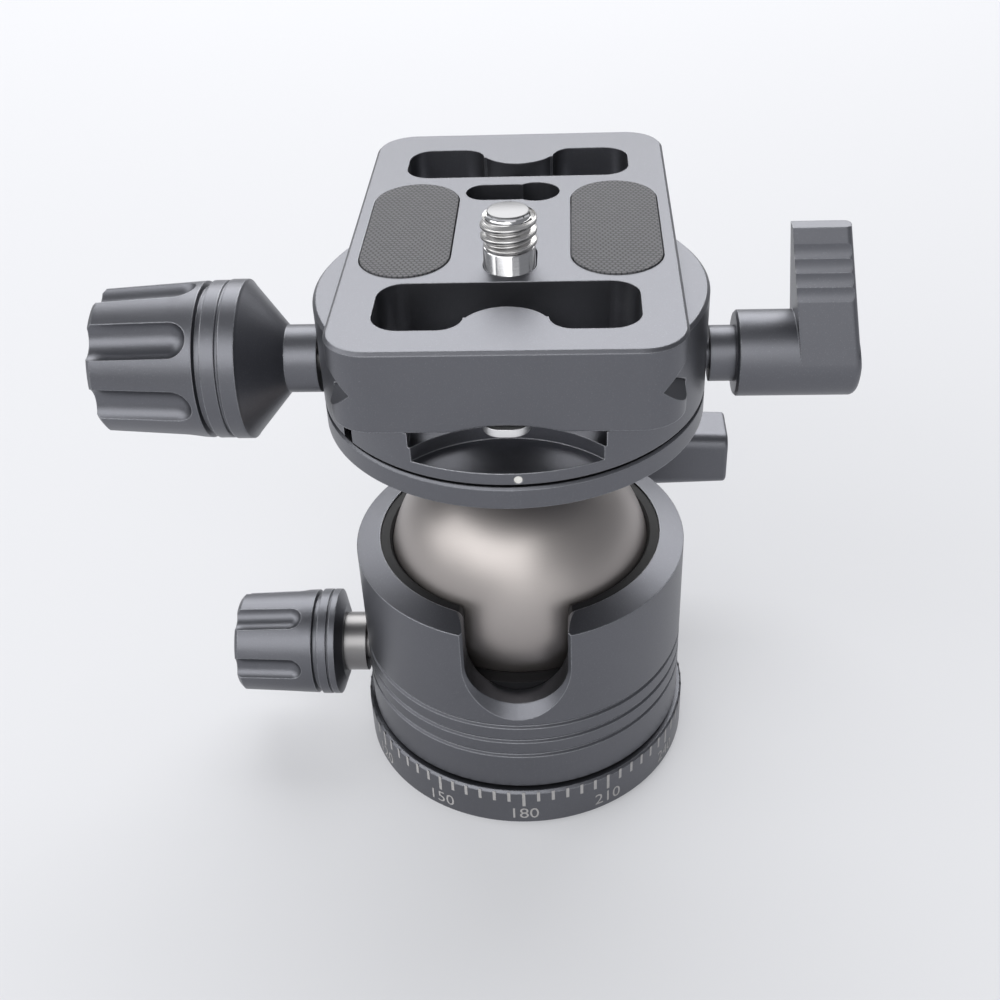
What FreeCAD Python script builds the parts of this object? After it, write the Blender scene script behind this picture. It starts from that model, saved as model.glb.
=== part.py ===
import FreeCAD, Part
import math
import os

os.makedirs("parts", exist_ok=True)

V = FreeCAD.Vector
UP = V(0, 0, 1)

# Clearances between pieces
runGap = 0.08           # radial gap of a turning or sliding fit
seatGap = 0.10          # gap between faces that rest on each other
ballGap = 0.08          # gap between the ball and its seats
pressGap = 0.02         # gap round a pressed, glued or screwed-in piece

# Widths that the others follow
housingRadius = 21.0
plateWidth = 38.0       # standard dovetail plate

# Base plate, with its ring that the housing turns on
baseRadius = housingRadius + 0.7
baseHeight = 6.3
baseChamfer = 0.8
spigotRadius = housingRadius - 5.4
spigotWall = 2.8
spigotHeight = 7.9
lockHeight = 12.6       # height of the base pan lock and of the groove it grips
grooveDepth = 1.6
grooveHalf = 1.9

# Tripod thread insert, 3/8 inch
insertRadius = 6.9
insertFlangeRadius = 8.4
insertFlange = 1.6
insertHeight = 8.4
tripodThreadRadius = 3.97

# Housing
washerThickness = 0.2
housingTop = 32.3
housingChamfer = 0.9
floorTop = 16.4         # top of the inner ledge that carries the cup
floorHeight = 1.6
floorHole = housingRadius - 8.3
gripGrooveCount = 3
gripGrooveFirst = 12.4
gripGroovePitch = 2.5
gripGrooveDepth = 0.35
gripGrooveWidth = 1.0

# Ball and its seats
ballCentre = 28.0
ballRadius = housingRadius - 4.3
cavityRadius = ballRadius + 0.5     # bore around the cup
collarRadius = ballRadius + 1.2
collarBottom = 26.0
collarTop = 32.1
springHeight = 0.8
springWall = 3.6
cupHeight = 4.0
cupWall = 5.2

# Stem, and the boss of the clamp's disc that meets it
stemRadius = 5.7
flareHeight = 1.8
flareRadius = 8.6

# Notch that lets the stem drop to the side
notchHalf = stemRadius + 0.5
notchDrop = 1.8         # the round end is centred this far below the ball's centre
notchChamfer = 0.5
notchCorner = 1.1       # rounding of the two upper corners

# Ball lock at the back
brakeHeight = 23.8
brakeRadius = 3.3
brakeFace = housingRadius - 2.4     # distance of the shoe's outer face from the axis
mainScrewRadius = 3.0
shankRadius = 4.0
shankGap = 0.3          # from the housing or the clamp to a shank's end
mainBarrelStart = housingRadius + 2.7
mainBarrelEnd = housingRadius + 12.8
mainBarrelRadius = 5.2
mainArmReach = 29.6
mainArmWidth = 7.5
mainArmTip = 4.1        # half thickness of the arm at its tip
mainArmEdge = 1.9       # rounding of the arm's front edges
screwGrip = 5.1         # how deep a screw sits in its knob or lever

# Base pan lock on the left
panScrewRadius = 2.5
panShoeRadius = 2.2
panShoeLength = 3.2
panKnobStart = housingRadius + 3.3
panKnobLength = 14.4
panKnobRadius = 7.2
panKnobTipRadius = 6.7
panFluteCount = 6
panFluteTurn = 0.916    # angle of the first flute

# Set screws that keep the housing on the base
setScrewRadius = 1.5
setScrewSocket = 0.75
setScrewPoint = 0.9     # length of the conical point
setScrewAngles = (25, 130)

# Panoramic clamp
discRadius = plateWidth / 2 + 3.4
discBottom = 51.2
discHeight = 3.1
clampGap = 0.35         # visible line between the disc and the clamp body
clampFloor = 59.6
clampTop = 67.0
hubRadius = 9.0
hubTop = 56.1
capRadius = 11.4
capHeight = 1.8
capScrewCount = 3
capScrewCircle = 7.0
capScrewRadius = 1.1
capScrewHead = 1.8
stemScrewRadius = 3.0
stemScrewHead = 4.4
stemScrewSeat = 54.9
stemScrewDepth = ballCentre + ballRadius + 0.9
recessHalf = 10.5
recessFloor = 57.9
scoopRadius = 14.4
scoopCentre = 30.0
scoopFloor = 56.2
clampAxis = 57.5        # height of the draw screw and of the pan lock screw
jawSplit = plateWidth / 2 - 1.6     # end face of the fixed part, below the plate's edge
jawOpening = 1.1        # gap between the jaw and that face when a plate is held
dotRadius = 0.45
dotDepth = 0.4
dotX = 1.2

# Moving jaw and its knob
drawScrewRadius = 1.75
drawScrewEnd = 12.4
guidePinRadius = 1.2
guidePinSpacing = 13.0
guidePinDepth = 5.5
guidePinGrip = 1.8      # length of the pins inside the jaw
jawSpringRadius = 1.3
jawSpringSpacing = 20.0
jawSpringLength = 4.0
clampKnobStart = discRadius + 0.2
coneStart = clampKnobStart + 3.8
coneEnd = clampKnobStart + 8.1
clampKnobRadius = 9.4
clampKnobTipRadius = 8.5
clampKnobLength = 25.6
clampFluteCount = 7
clampFluteTurn = 0.577  # angle of the first flute

# Clamp pan lock on the right
clampScrewRadius = 1.75
clampShankRadius = 3.25
clampShoeRadius = 1.2
clampShoeLength = 2.4
clampBarrelStart = discRadius + 3.2
clampBarrelEnd = discRadius + 17.2
clampBarrelRadius = 5.0
clampBarrelEdge = 0.9
clampArmHeight = 16.2
clampArmWidth = 6.8
clampArmLean = 2.4      # how far the arm's outer end leans in over its height
clampArmInner = 2.0     # the same for its inner end
clampArmFront = -1.5    # front of the arm's tip
clampArmBack = 0.3
clampArmEdge = 0.8
clampArmFlutes = 4
clampFlutePitch = 1.6
clampFluteStart = 2.6   # from the tip to the first flute
clampFluteRadius = 1.9
clampFluteDepth = 0.2

# Quick release plate
plateFront = -19.7
plateLength = 60.0
plateThickness = 9.5
plateBottom = clampFloor + seatGap
plateCorner = 5.0
plateChamfer = 0.35
grooveTop = 2.5         # below the plate's top face
dovetailDepth = 2.8
slotHalf = plateWidth / 2 - 4.7
slotCorner = 3.2
frontSlot = (-15.0, -4.2)
rearSlot = (25.2, 34.6)
tongueRadius = 5.0
tongueRoot = 2.7
padInner = 6.8
padOuter = plateWidth / 2 - 1.6
padFront = -3.0
padRear = 23.1
padDepth = 1.0
padProud = 0.15
padGap = 0.15
screwSlotHalf = 3.05
screwTravel = 3.0       # how far back the camera screw slides
pocketHalf = 9.3
pocketDepth = 3.4
pocketWall = 1.8
pocketRear = 13.6
lipRadius = 20.7        # shallow arch under the plate's front
lipHeight = 0.8
keyholeY = 20.4
keyholeRadius = 2.9
keyholeX = 2.6
keySlotHalf = 2.4
keySlotEnd = -3.8
stopScrewX = 13.5
stopScrewY = 37.6
stopScrewRadius = 1.5
stopScrewHead = 1.4

# Camera screw, 1/4 inch, with its folding ring
cameraScrewY = 0.0
cameraThreadRadius = 3.175
cameraCollarRadius = 2.95
cameraCollarStand = 2.4     # plain part above the plate, below the thread
cameraScrewStand = 6.6
cameraTipRadius = 2.4
cameraTipHeight = 0.8
screwHeadRadius = 5.6
screwHeadHeight = 2.0
ringWire = 0.9
ringHalf = 7.6
ringFront = -16.5       # front of the ring's round end
ringPinEnd = 3.0
tabHalf = 2.55
tabTip = -20.1
tabThickness = 0.9
tabCorner = 2.0
screwGap = 0.25         # play between a lock screw's end and its shoe

plateTop = plateBottom + plateThickness
clampBottom = discBottom + discHeight + clampGap
housingBottom = baseHeight + washerThickness + seatGap


def cyl(radius, low, high, x=0.0, y=0.0):
    """Upright cylinder between two heights."""
    return Part.makeCylinder(radius, high - low, V(x, y, low), UP)


def rod(radius, start, length, direction):
    """Cylinder along any direction."""
    return Part.makeCylinder(radius, length, V(*start), V(*direction))


def box(x0, x1, y0, y1, z0, z1):
    return Part.makeBox(x1 - x0, y1 - y0, z1 - z0, V(x0, y0, z0))


def turned(profile, axis=UP, at=V(0, 0, 0)):
    """Solid of revolution: (radius, distance) corners about an axis through a point."""
    pts = [V(r, 0, h) for r, h in profile]
    face = Part.Face(Part.makePolygon(pts + [pts[0]]))
    solid = face.revolve(V(0, 0, 0), UP, 360)
    turn = FreeCAD.Rotation(UP, axis)
    solid.Placement = FreeCAD.Placement(at, turn)
    return solid


def slab(points, low, high):
    """Upright prism over a closed outline."""
    pts = [V(x, y, low) for x, y in points]
    return Part.Face(Part.makePolygon(pts + [pts[0]])).extrude(V(0, 0, high - low))


def across(points, y0, y1):
    """Prism along Y over an outline in X and Z."""
    pts = [V(x, y0, z) for x, z in points]
    return Part.Face(Part.makePolygon(pts + [pts[0]])).extrude(V(0, y1 - y0, 0))


def obround(x0, x1, y0, y1, low, high):
    """Upright prism with full round ends on its short sides."""
    wide = (x1 - x0) > (y1 - y0)
    r = (y1 - y0) / 2 if wide else (x1 - x0) / 2
    if wide:
        core = box(x0 + r, x1 - r, y0, y1, low, high)
        ends = [cyl(r, low, high, x, (y0 + y1) / 2) for x in (x0 + r, x1 - r)]
    else:
        core = box(x0, x1, y0 + r, y1 - r, low, high)
        ends = [cyl(r, low, high, (x0 + x1) / 2, y) for y in (y0 + r, y1 - r)]
    return core.fuse(ends).removeSplitter()


def rounded_box(x0, x1, y0, y1, low, high, r):
    """Upright box with rounded vertical edges."""
    core = box(x0, x1, y0, y1, low, high)
    return core.makeFillet(r, upright_edges(core))


def upright_edges(shape):
    found = []
    for edge in shape.Edges:
        a, b = edge.Vertexes[0].Point, edge.Vertexes[-1].Point
        if abs(a.x - b.x) < 1e-6 and abs(a.y - b.y) < 1e-6 and abs(a.z - b.z) > 1e-3:
            found.append(edge)
    return found


def save(name, shape):
    shape = shape.removeSplitter() if len(shape.Solids) == 1 else shape
    solids = shape.Solids
    assert solids, name
    out = solids[0] if len(solids) == 1 else Part.makeCompound(solids)
    out.exportStep("parts/%s.step" % name)
    print("%-24s solids %d  volume %.1f" % (name, len(solids), out.Volume))
    return out


def lock_groove():
    """V groove round the base's ring, where the pan lock and the set screws grip."""
    r, z = spigotRadius, lockHeight
    return turned([(r + 1, z - grooveHalf - 1), (r + 1, z + grooveHalf + 1), (r - grooveDepth, z)])


def notch_cutter(grow=0.0):
    """Round-ended notch at the front, open at the top."""
    half = notchHalf + grow
    reach = housingRadius + 2
    centre = ballCentre - notchDrop
    arc = Part.makeCylinder(half, reach, V(0, -reach, centre), V(0, 1, 0))
    slot = box(-half, half, -reach, 0, centre, housingTop + 5)
    r, z = notchCorner, housingTop - notchCorner
    corners = box(-half - r, half + r, -reach, -collarRadius / 2, z, housingTop + 5)
    rounds = [rod(r, (side * (half + r), -reach, z), reach, (0, 1, 0)) for side in (-1, 1)]
    return arc.fuse([slot, corners.cut(rounds)])


def base_plate():
    body = turned([(0, 0), (baseRadius - baseChamfer, 0), (baseRadius, baseChamfer),
                   (baseRadius, baseHeight - 0.3), (baseRadius - 0.3, baseHeight), (0, baseHeight)])
    ring = cyl(spigotRadius, baseHeight, baseHeight + spigotHeight)
    ring = ring.cut(cyl(spigotRadius - spigotWall, baseHeight, baseHeight + spigotHeight))
    boss = cyl(insertRadius + 2.4, baseHeight, insertHeight)
    body = body.fuse([ring, boss]).cut(lock_groove())
    body = body.cut(cyl(insertRadius, -1, insertHeight + 1))
    return body.cut(cyl(insertFlangeRadius + pressGap, -1, insertFlange))


def thread_insert():
    body = cyl(insertRadius - pressGap, 0, insertHeight).fuse(cyl(insertFlangeRadius, 0, insertFlange - pressGap))
    return body.cut(cyl(tripodThreadRadius, -1, insertHeight + 1))


def pan_washer():
    low = baseHeight + seatGap / 2
    ring = cyl(housingRadius - 0.9, low, low + washerThickness)
    return ring.cut(cyl(spigotRadius + 0.6, low - 1, low + 1))


def housing():
    top, bottom = housingTop, housingBottom
    rim = collarRadius + pressGap
    body = turned([(0, bottom), (housingRadius - 0.25, bottom), (housingRadius, bottom + 0.25),
                   (housingRadius, top - housingChamfer), (rim, top), (0, top)])
    body = body.cut(cyl(spigotRadius + runGap, bottom - 1, floorTop - floorHeight))
    body = body.cut(cyl(floorHole, bottom - 1, top + 1))
    body = body.cut(cyl(cavityRadius, floorTop, top + 1))
    body = body.cut(cyl(rim, collarBottom, top + 1))
    for i in range(gripGrooveCount):
        z = gripGrooveFirst + i * gripGroovePitch
        r, w = housingRadius, gripGrooveWidth / 2
        body = body.cut(turned([(r + 1, z - w * 2), (r + 1, z + w * 2), (r - gripGrooveDepth, z + w * 0.4),
                                (r - gripGrooveDepth, z - w * 0.4)]))
    body = body.cut(notch_cutter())
    body = body.cut(notch_bevel())
    inside = housingRadius / 2
    shoe_end = pan_shoe_end() + screwGap
    body = body.cut(rod(brakeRadius + runGap, (0, inside, brakeHeight), brakeFace + 0.4 - inside, (0, 1, 0)))
    body = body.cut(rod(mainScrewRadius + runGap, (0, inside, brakeHeight), housingRadius, (0, 1, 0)))
    body = body.cut(rod(panShoeRadius + runGap, (-inside, 0, lockHeight), shoe_end - inside, (-1, 0, 0)))
    body = body.cut(rod(panScrewRadius + runGap, (-inside, 0, lockHeight), housingRadius, (-1, 0, 0)))
    for screw in set_screw_axes():
        body = body.cut(rod(setScrewRadius + pressGap, screw[0], housingRadius, screw[1]))
    return body


def notch_bevel():
    """Small bevel round the notch's outer edge."""
    half = notchHalf
    centre = ballCentre - notchDrop
    depth = math.sqrt(housingRadius ** 2 - half ** 2)
    cone = Part.makeCone(half, half + 2.4, 2.4, V(0, -depth + notchChamfer, centre), V(0, -1, 0))
    faces = []
    for side in (-1, 1):
        pts = [V(side * half, -depth + notchChamfer, centre), V(side * half, -depth - 2.4 + notchChamfer, centre),
               V(side * (half + 2.4), -depth - 2.4 + notchChamfer, centre)]
        faces.append(Part.Face(Part.makePolygon(pts + [pts[0]])).extrude(V(0, 0, housingTop)))
    return cone.fuse(faces)


def set_screw_axes():
    """Two set screws whose points run in the base's groove."""
    axes = []
    for degrees in setScrewAngles:
        a = math.radians(degrees)
        d = (math.cos(a), math.sin(a), 0)
        r = spigotRadius - 0.7
        axes.append(((d[0] * r, d[1] * r, lockHeight), d))
    return axes


def pan_set_screws():
    screws = []
    for start, d in set_screw_axes():
        outward = V(*d)
        point = Part.makeCone(0.5, setScrewRadius - 0.1, setScrewPoint, V(*start), outward)
        back = V(*start) + outward * setScrewPoint
        length = housingRadius - gripGrooveDepth - 0.4 - back.dot(outward)
        shank = Part.makeCylinder(setScrewRadius, length, back, outward)
        end = back + outward * length
        socket = Part.makeCylinder(setScrewSocket, 3, end - outward * 1.5, outward)
        screws.append(point.fuse(shank).cut(socket))
    return Part.makeCompound(screws)


def ball_seat():
    return Part.makeSphere(ballRadius + ballGap, V(0, 0, ballCentre))


def brake_bore():
    return rod(brakeRadius + runGap, (0, 5, brakeHeight), 20, (0, 1, 0))


def ball_collar():
    body = cyl(collarRadius - pressGap, collarBottom + seatGap, collarTop)
    body = body.cut(ball_seat()).cut(notch_cutter(0.05))
    body = body.cut(Part.makeCone(ballRadius - 0.7, ballRadius + 0.3, 1.0, V(0, 0, collarTop - 0.7), UP))
    return body.cut(brake_bore())


def cup_low():
    return floorTop + springHeight


def lower_cup():
    body = cyl(cavityRadius - runGap, cup_low() + seatGap, cup_low() + cupHeight)
    body = body.cut(cyl(cavityRadius - cupWall, cup_low() - 1, cup_low() + cupHeight + 1))
    return body.cut(ball_seat()).cut(brake_bore())


def cup_spring():
    ring = cyl(cavityRadius - 0.4, floorTop + seatGap, cup_low())
    return ring.cut(cyl(cavityRadius - springWall, floorTop - 1, cup_low() + 1))


def ball():
    return Part.makeSphere(ballRadius, V(0, 0, ballCentre))


def stem():
    body = cyl(stemRadius, ballCentre + ballRadius * 0.8, discBottom - flareHeight - seatGap / 2)
    body = body.cut(ball_seat())
    return body.cut(cyl(stemScrewRadius + runGap, ballCentre, discBottom))


def brake_shoe():
    start = ballRadius * 0.7
    body = rod(brakeRadius, (0, start, brakeHeight), brakeFace - start, (0, 1, 0))
    return body.cut(ball_seat())


def main_screw():
    start = brakeFace + screwGap
    end = mainBarrelStart + screwGrip - 1.1
    thread = rod(mainScrewRadius, (0, start, brakeHeight), end - start, (0, 1, 0))
    shank_start = housingRadius + shankGap
    shank = rod(shankRadius, (0, shank_start, brakeHeight), mainBarrelStart - shank_start, (0, 1, 0))
    return thread.fuse(shank)


def main_lever():
    r, start, end = mainBarrelRadius, mainBarrelStart, mainBarrelEnd
    at = V(0, start, brakeHeight)
    barrel = turned([(0, 0), (r - 0.9, 0), (r, 0.9), (r, end - start - 1.5), (r - 1.5, end - start),
                     (0, end - start)], V(0, 1, 0), at)
    tip, reach, z = mainArmTip, mainArmReach, brakeHeight
    arm = across([(0, z - r), (reach, z - tip), (reach, z + tip), (0, z + r)], end - mainArmWidth, end)
    front = [e for e in arm.Edges if all(abs(v.Y - end + mainArmWidth) < 1e-6 for v in e.Vertexes)]
    long_edges = [e for e in front if e.Length > reach / 2]
    arm = arm.makeFillet(mainArmEdge, long_edges)
    end_edges = [e for e in arm.Edges if all(abs(v.X - reach) < 1e-6 for v in e.Vertexes)]
    arm = arm.makeFillet(0.5, end_edges)
    bore = rod(mainScrewRadius + pressGap, (0, start - 1, brakeHeight), screwGrip, (0, 1, 0))
    return barrel.fuse(arm).cut(bore)


def pan_shoe_end():
    return spigotRadius - 0.75 + panShoeLength


def pan_shoe():
    """Shoe with a V nose that grips the base's groove."""
    tip = pan_shoe_end() - panShoeLength
    nose = Part.makeCone(0.8, panShoeRadius, 1.35, V(-tip, 0, lockHeight), V(-1, 0, 0))
    body = rod(panShoeRadius, (-tip - 1.35, 0, lockHeight), panShoeLength - 1.35, (-1, 0, 0))
    return nose.fuse(body)


def pan_screw():
    start = pan_shoe_end() + screwGap
    end = panKnobStart + screwGrip - 1.1
    thread = rod(panScrewRadius, (-start, 0, lockHeight), end - start, (-1, 0, 0))
    shank_start = housingRadius + shankGap
    shank = rod(shankRadius, (-shank_start, 0, lockHeight), panKnobStart - shank_start, (-1, 0, 0))
    return thread.fuse(shank)


def fluted(profile, count, near, far, near_radius, far_radius, cutter, height, start_angle=0.0):
    """Knob turned about -X with round ended flutes that run out at its end."""
    body = turned(profile, V(-1, 0, 0), V(0, 0, height))
    cuts = []
    for i in range(count):
        a = start_angle + 2 * math.pi * i / count
        d = V(0, math.cos(a), math.sin(a))
        p = V(-near, 0, height) + d * near_radius
        q = V(-far, 0, height) + d * far_radius
        cuts.append(Part.makeCylinder(cutter, (q - p).Length, p, q - p))
        cuts.append(Part.makeSphere(cutter, p))
    return body.cut(cuts)


def pan_knob():
    s, r, t = panKnobStart, panKnobRadius, panKnobTipRadius
    end = s + panKnobLength
    profile = [(0, s), (r - 2.2, s), (r, s + 0.8), (r, s + 1.6), (r - 0.3, s + 1.7), (r - 0.3, s + 1.85),
               (r, s + 1.95), (r, s + 3.1), (r - 0.8, s + 3.25), (r - 0.8, s + 3.75), (r - 0.1, s + 3.9),
               (t, end - 0.5), (t - 0.5, end), (0, end)]
    body = fluted(profile, panFluteCount, s + 7.0, end + 2, r + 0.45, t + 0.5, 1.75, lockHeight, panFluteTurn)
    return body.cut(rod(panScrewRadius + pressGap, (-s + 1, 0, lockHeight), screwGrip, (-1, 0, 0)))


def clamp_disc():
    top = discBottom + discHeight
    body = turned([(0, discBottom), (discRadius - 1.0, discBottom), (discRadius, discBottom + 0.5),
                   (discRadius, top - 0.25), (discRadius - 0.25, top), (0, top)])
    boss = Part.makeCone(stemRadius, flareRadius, flareHeight, V(0, 0, discBottom - flareHeight), UP)
    body = body.fuse([boss, cyl(hubRadius, top - 0.1, hubTop)])
    body = body.cut(cyl(stemScrewRadius + runGap, ballCentre, clampTop))
    body = body.cut(cyl(stemScrewHead + runGap, stemScrewSeat, clampTop))
    for x, y in cap_screw_places():
        body = body.cut(cyl(capScrewRadius - 0.25, hubTop - 2.6, hubTop + 1, x, y))
    return body


def cap_screw_places():
    places = []
    for i in range(capScrewCount):
        a = math.radians(90 + 360 * i / capScrewCount)
        places.append((capScrewCircle * math.cos(a), capScrewCircle * math.sin(a)))
    return places


def cap_low():
    return hubTop + 0.02


def retaining_cap():
    low = cap_low()
    body = cyl(capRadius, low, low + capHeight).cut(cyl(stemScrewHead + runGap, discBottom, clampTop))
    for x, y in cap_screw_places():
        body = body.cut(cyl(capScrewRadius, discBottom, clampTop, x, y))
        body = body.cut(cyl(capScrewHead + 0.05, low + capHeight / 2, clampTop, x, y))
    return body


def cap_screws():
    screws = []
    for x, y in cap_screw_places():
        seat, top = cap_low() + capHeight / 2 + pressGap, cap_low() + capHeight - 0.05
        shank = cyl(capScrewRadius - 0.28, hubTop - 2.4, seat + 0.1, x, y)
        head = cyl(capScrewHead, seat, top, x, y)
        socket = cyl(capScrewHead / 3, (seat + top) / 2, clampTop, x, y)
        screws.append(shank.fuse(head).cut(socket))
    return Part.makeCompound(screws)


def stem_screw():
    head = cyl(stemScrewHead, stemScrewSeat + 0.02, cap_low() + capHeight - 0.1)
    shank = cyl(stemScrewRadius, stemScrewDepth, stemScrewSeat + 0.1)
    socket = cyl(stemScrewHead - 1.9, stemScrewSeat + 0.9, clampTop)
    return head.fuse(shank).cut(socket)


def wedge(side, inner, clearance):
    """Section of a jaw: its tip reaches into the plate's side groove."""
    w = plateWidth / 2 + clearance
    apex = plateTop - grooveTop - dovetailDepth
    d = dovetailDepth
    far = discRadius + 3
    pts = [(inner, clampBottom), (far, clampBottom), (far, clampTop), (w, clampTop), (w, apex + d),
           (w - d, apex), (w, apex - d), (w, plateBottom - seatGap), (inner, plateBottom - seatGap)]
    pts = [(side * x, z) for x, z in pts if z <= clampTop + 1e-9]
    return across(dedupe(pts), -discRadius, discRadius)


def dedupe(points):
    out = []
    for p in points:
        if not out or math.dist(p, out[-1]) > 1e-6:
            out.append(p)
    return out


def clamp_round():
    """Outer round of the clamp with eased edges."""
    r = discRadius
    return turned([(0, clampBottom), (r - 0.2, clampBottom), (r, clampBottom + 0.2), (r, clampTop - 0.4),
                   (r - 0.4, clampTop), (0, clampTop)])


def clamp_body():
    floor = box(-jawSplit, discRadius + 1, -30, 30, clampBottom, clampFloor)
    body = floor.fuse(wedge(1, jawSplit, seatGap)).common(clamp_round())
    body = body.cut(box(-recessHalf, recessHalf, -30, 30, recessFloor, clampFloor + 1))
    for side in (-1, 1):
        body = body.cut(cyl(scoopRadius, scoopFloor, clampFloor + 1, 0, side * scoopCentre))
    body = body.cut(cyl(hubRadius + runGap, discBottom, clampTop))
    body = body.cut(cyl(capRadius + runGap, cap_low() - seatGap, clampTop))
    body = body.cut(rod(clampShoeRadius + runGap, (5, 0, clampAxis), 30, (1, 0, 0)))
    body = body.cut(rod(clampScrewRadius + runGap, (clamp_shoe_end() + screwGap / 2, 0, clampAxis), 30, (1, 0, 0)))
    body = body.cut(rod(drawScrewRadius + runGap, (-drawScrewEnd + 0.3, 0, clampAxis), 30, (-1, 0, 0)))
    for side in (-1, 1):
        y = side * guidePinSpacing / 2
        body = body.cut(rod(guidePinRadius + pressGap, (-jawSplit + guidePinDepth, y, clampAxis), 30, (-1, 0, 0)))
        y = side * jawSpringSpacing / 2
        body = body.cut(rod(jawSpringRadius + 0.1, (-jawSplit + jawSpringLength - jawOpening, y, clampAxis), 30,
                            (-1, 0, 0)))
    return body.cut(dot_seat())


def dot_back():
    """Middle of the index mark's rear face."""
    return (dotX, -math.sqrt(discRadius ** 2 - dotX ** 2) + dotDepth, (clampBottom + scoopFloor) / 2)


def dot_seat():
    return rod(dotRadius + pressGap, dot_back(), dotDepth + 1, (0, -1, 0))


def index_dot():
    return rod(dotRadius, dot_back(), dotDepth - 0.02, (0, -1, 0))


def jaw():
    body = wedge(-1, jawSplit + jawOpening, seatGap).common(clamp_round())
    body = body.cut(rod(drawScrewRadius + runGap, (0, 0, clampAxis), 30, (-1, 0, 0)))
    for side in (-1, 1):
        y = side * guidePinSpacing / 2
        reach = jawSplit + jawOpening + guidePinGrip + 0.2
        body = body.cut(rod(guidePinRadius + runGap, (0, y, clampAxis), reach, (-1, 0, 0)))
    return body


def guide_pins():
    pins = []
    for side in (-1, 1):
        y = side * guidePinSpacing / 2
        start = -jawSplit + guidePinDepth - 0.05
        pins.append(rod(guidePinRadius, (start, y, clampAxis), guidePinDepth + jawOpening + guidePinGrip, (-1, 0, 0)))
    return Part.makeCompound(pins)


def jaw_springs():
    springs = []
    for side in (-1, 1):
        y = side * jawSpringSpacing / 2
        start = (-jawSplit + jawSpringLength - jawOpening - 0.05, y, clampAxis)
        tube = rod(jawSpringRadius, start, jawSpringLength - 0.1, (-1, 0, 0))
        springs.append(tube.cut(rod(jawSpringRadius - 0.5, start, jawSpringLength, (-1, 0, 0))))
    return Part.makeCompound(springs)


def draw_screw():
    start = -drawScrewEnd
    length = clampKnobStart + screwGrip - drawScrewEnd
    return rod(drawScrewRadius, (start, 0, clampAxis), length, (-1, 0, 0))


def clamp_knob():
    s, r, t = clampKnobStart, clampKnobRadius, clampKnobTipRadius
    end = s + clampKnobLength
    c = coneEnd
    profile = [(0, s), (shankRadius, s), (shankRadius, coneStart), (r - 0.3, c), (r, c + 0.2), (r, c + 2.0),
               (r - 0.35, c + 2.15), (r - 0.35, c + 2.35), (r - 0.1, c + 2.5), (r - 0.1, c + 4.1),
               (r - 0.8, c + 4.25), (r - 0.8, c + 4.85), (r - 0.15, c + 5.05), (t, end - 0.5), (t - 0.5, end), (0, end)]
    body = fluted(profile, clampFluteCount, c + 8.0, end + 3, r + 0.46, t + 0.62, 2.37, clampAxis, clampFluteTurn)
    return body.cut(rod(drawScrewRadius + pressGap, (-s + 1, 0, clampAxis), screwGrip + 1, (-1, 0, 0)))


def clamp_shoe_end():
    return capRadius + 0.15 + clampShoeLength


def clamp_shoe():
    start = capRadius + 0.15
    return rod(clampShoeRadius, (start, 0, clampAxis), clampShoeLength, (1, 0, 0))


def clamp_screw():
    start = clamp_shoe_end() + screwGap
    end = clampBarrelStart + screwGrip - 1.1
    thread = rod(clampScrewRadius, (start, 0, clampAxis), end - start, (1, 0, 0))
    shank_start = discRadius + shankGap
    shank = rod(clampShankRadius, (shank_start, 0, clampAxis), clampBarrelStart - shank_start, (1, 0, 0))
    return thread.fuse(shank)


def tangent(y, z, side):
    """Point where a line from (y, z) touches the barrel's circle."""
    angle = math.atan2(z, y) + side * math.acos(clampBarrelRadius / math.hypot(y, z))
    return clampBarrelRadius * math.cos(angle), clampBarrelRadius * math.sin(angle)


def clamp_lever():
    """Barrel with an arm whose flat faces are tangent to it."""
    r, start, end, rise = clampBarrelRadius, clampBarrelStart, clampBarrelEnd, clampArmHeight
    barrel = rod(r, (start, 0, clampAxis), end - start, (1, 0, 0))
    barrel = barrel.makeChamfer(0.3, round_edges(barrel, start))
    barrel = barrel.makeFillet(clampBarrelEdge, round_edges(barrel, end))
    front_root, back_root = tangent(clampArmFront, rise, 1), tangent(clampArmBack, rise, -1)
    side = [front_root, (0, -r / 2), back_root, (clampArmBack, rise), (clampArmFront, rise)]
    pts = [V(0, y, clampAxis + z) for y, z in side]
    flank = Part.Face(Part.makePolygon(pts + [pts[0]])).extrude(V(end + 1, 0, 0))
    inner, top = end - clampArmWidth, clampAxis + rise
    low = clampAxis - r
    ends = across([(inner, low), (end, low), (end, clampAxis), (end - clampArmLean, top),
                   (inner - clampArmInner, top), (inner, clampAxis)], -r, r)
    lean = across([(start - 1, low - 1), (end, low - 1), (end, clampAxis), (end - clampArmLean, top),
                   (start - 1, top)], -r - 1, r + 1)
    barrel = barrel.common(lean)
    arm = flank.common(ends)
    arm = arm.makeFillet(clampArmEdge, [e for e in arm.Edges if outer_arm_edge(e)])
    arm = arm.cut(finger_flutes(front_root))
    bore = rod(clampScrewRadius + pressGap, (start - 1, 0, clampAxis), screwGrip, (1, 0, 0))
    return barrel.fuse(arm).cut(bore)


def round_edges(shape, x):
    """Full circles in the plane at x."""
    return [e for e in shape.Edges if e.Closed and abs(e.CenterOfMass.x - x) < 1e-6]


def outer_arm_edge(edge):
    """True for the edges round the arm's outer end, above the barrel."""
    mid = edge.CenterOfMass
    above = mid.z > clampAxis + clampBarrelRadius / 2
    lean = clampArmLean * (mid.z - clampAxis) / clampArmHeight
    return above and abs(mid.x - clampBarrelEnd + lean) < 1e-3 and abs(mid.z - clampAxis - clampArmHeight) > 1e-3


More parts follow.
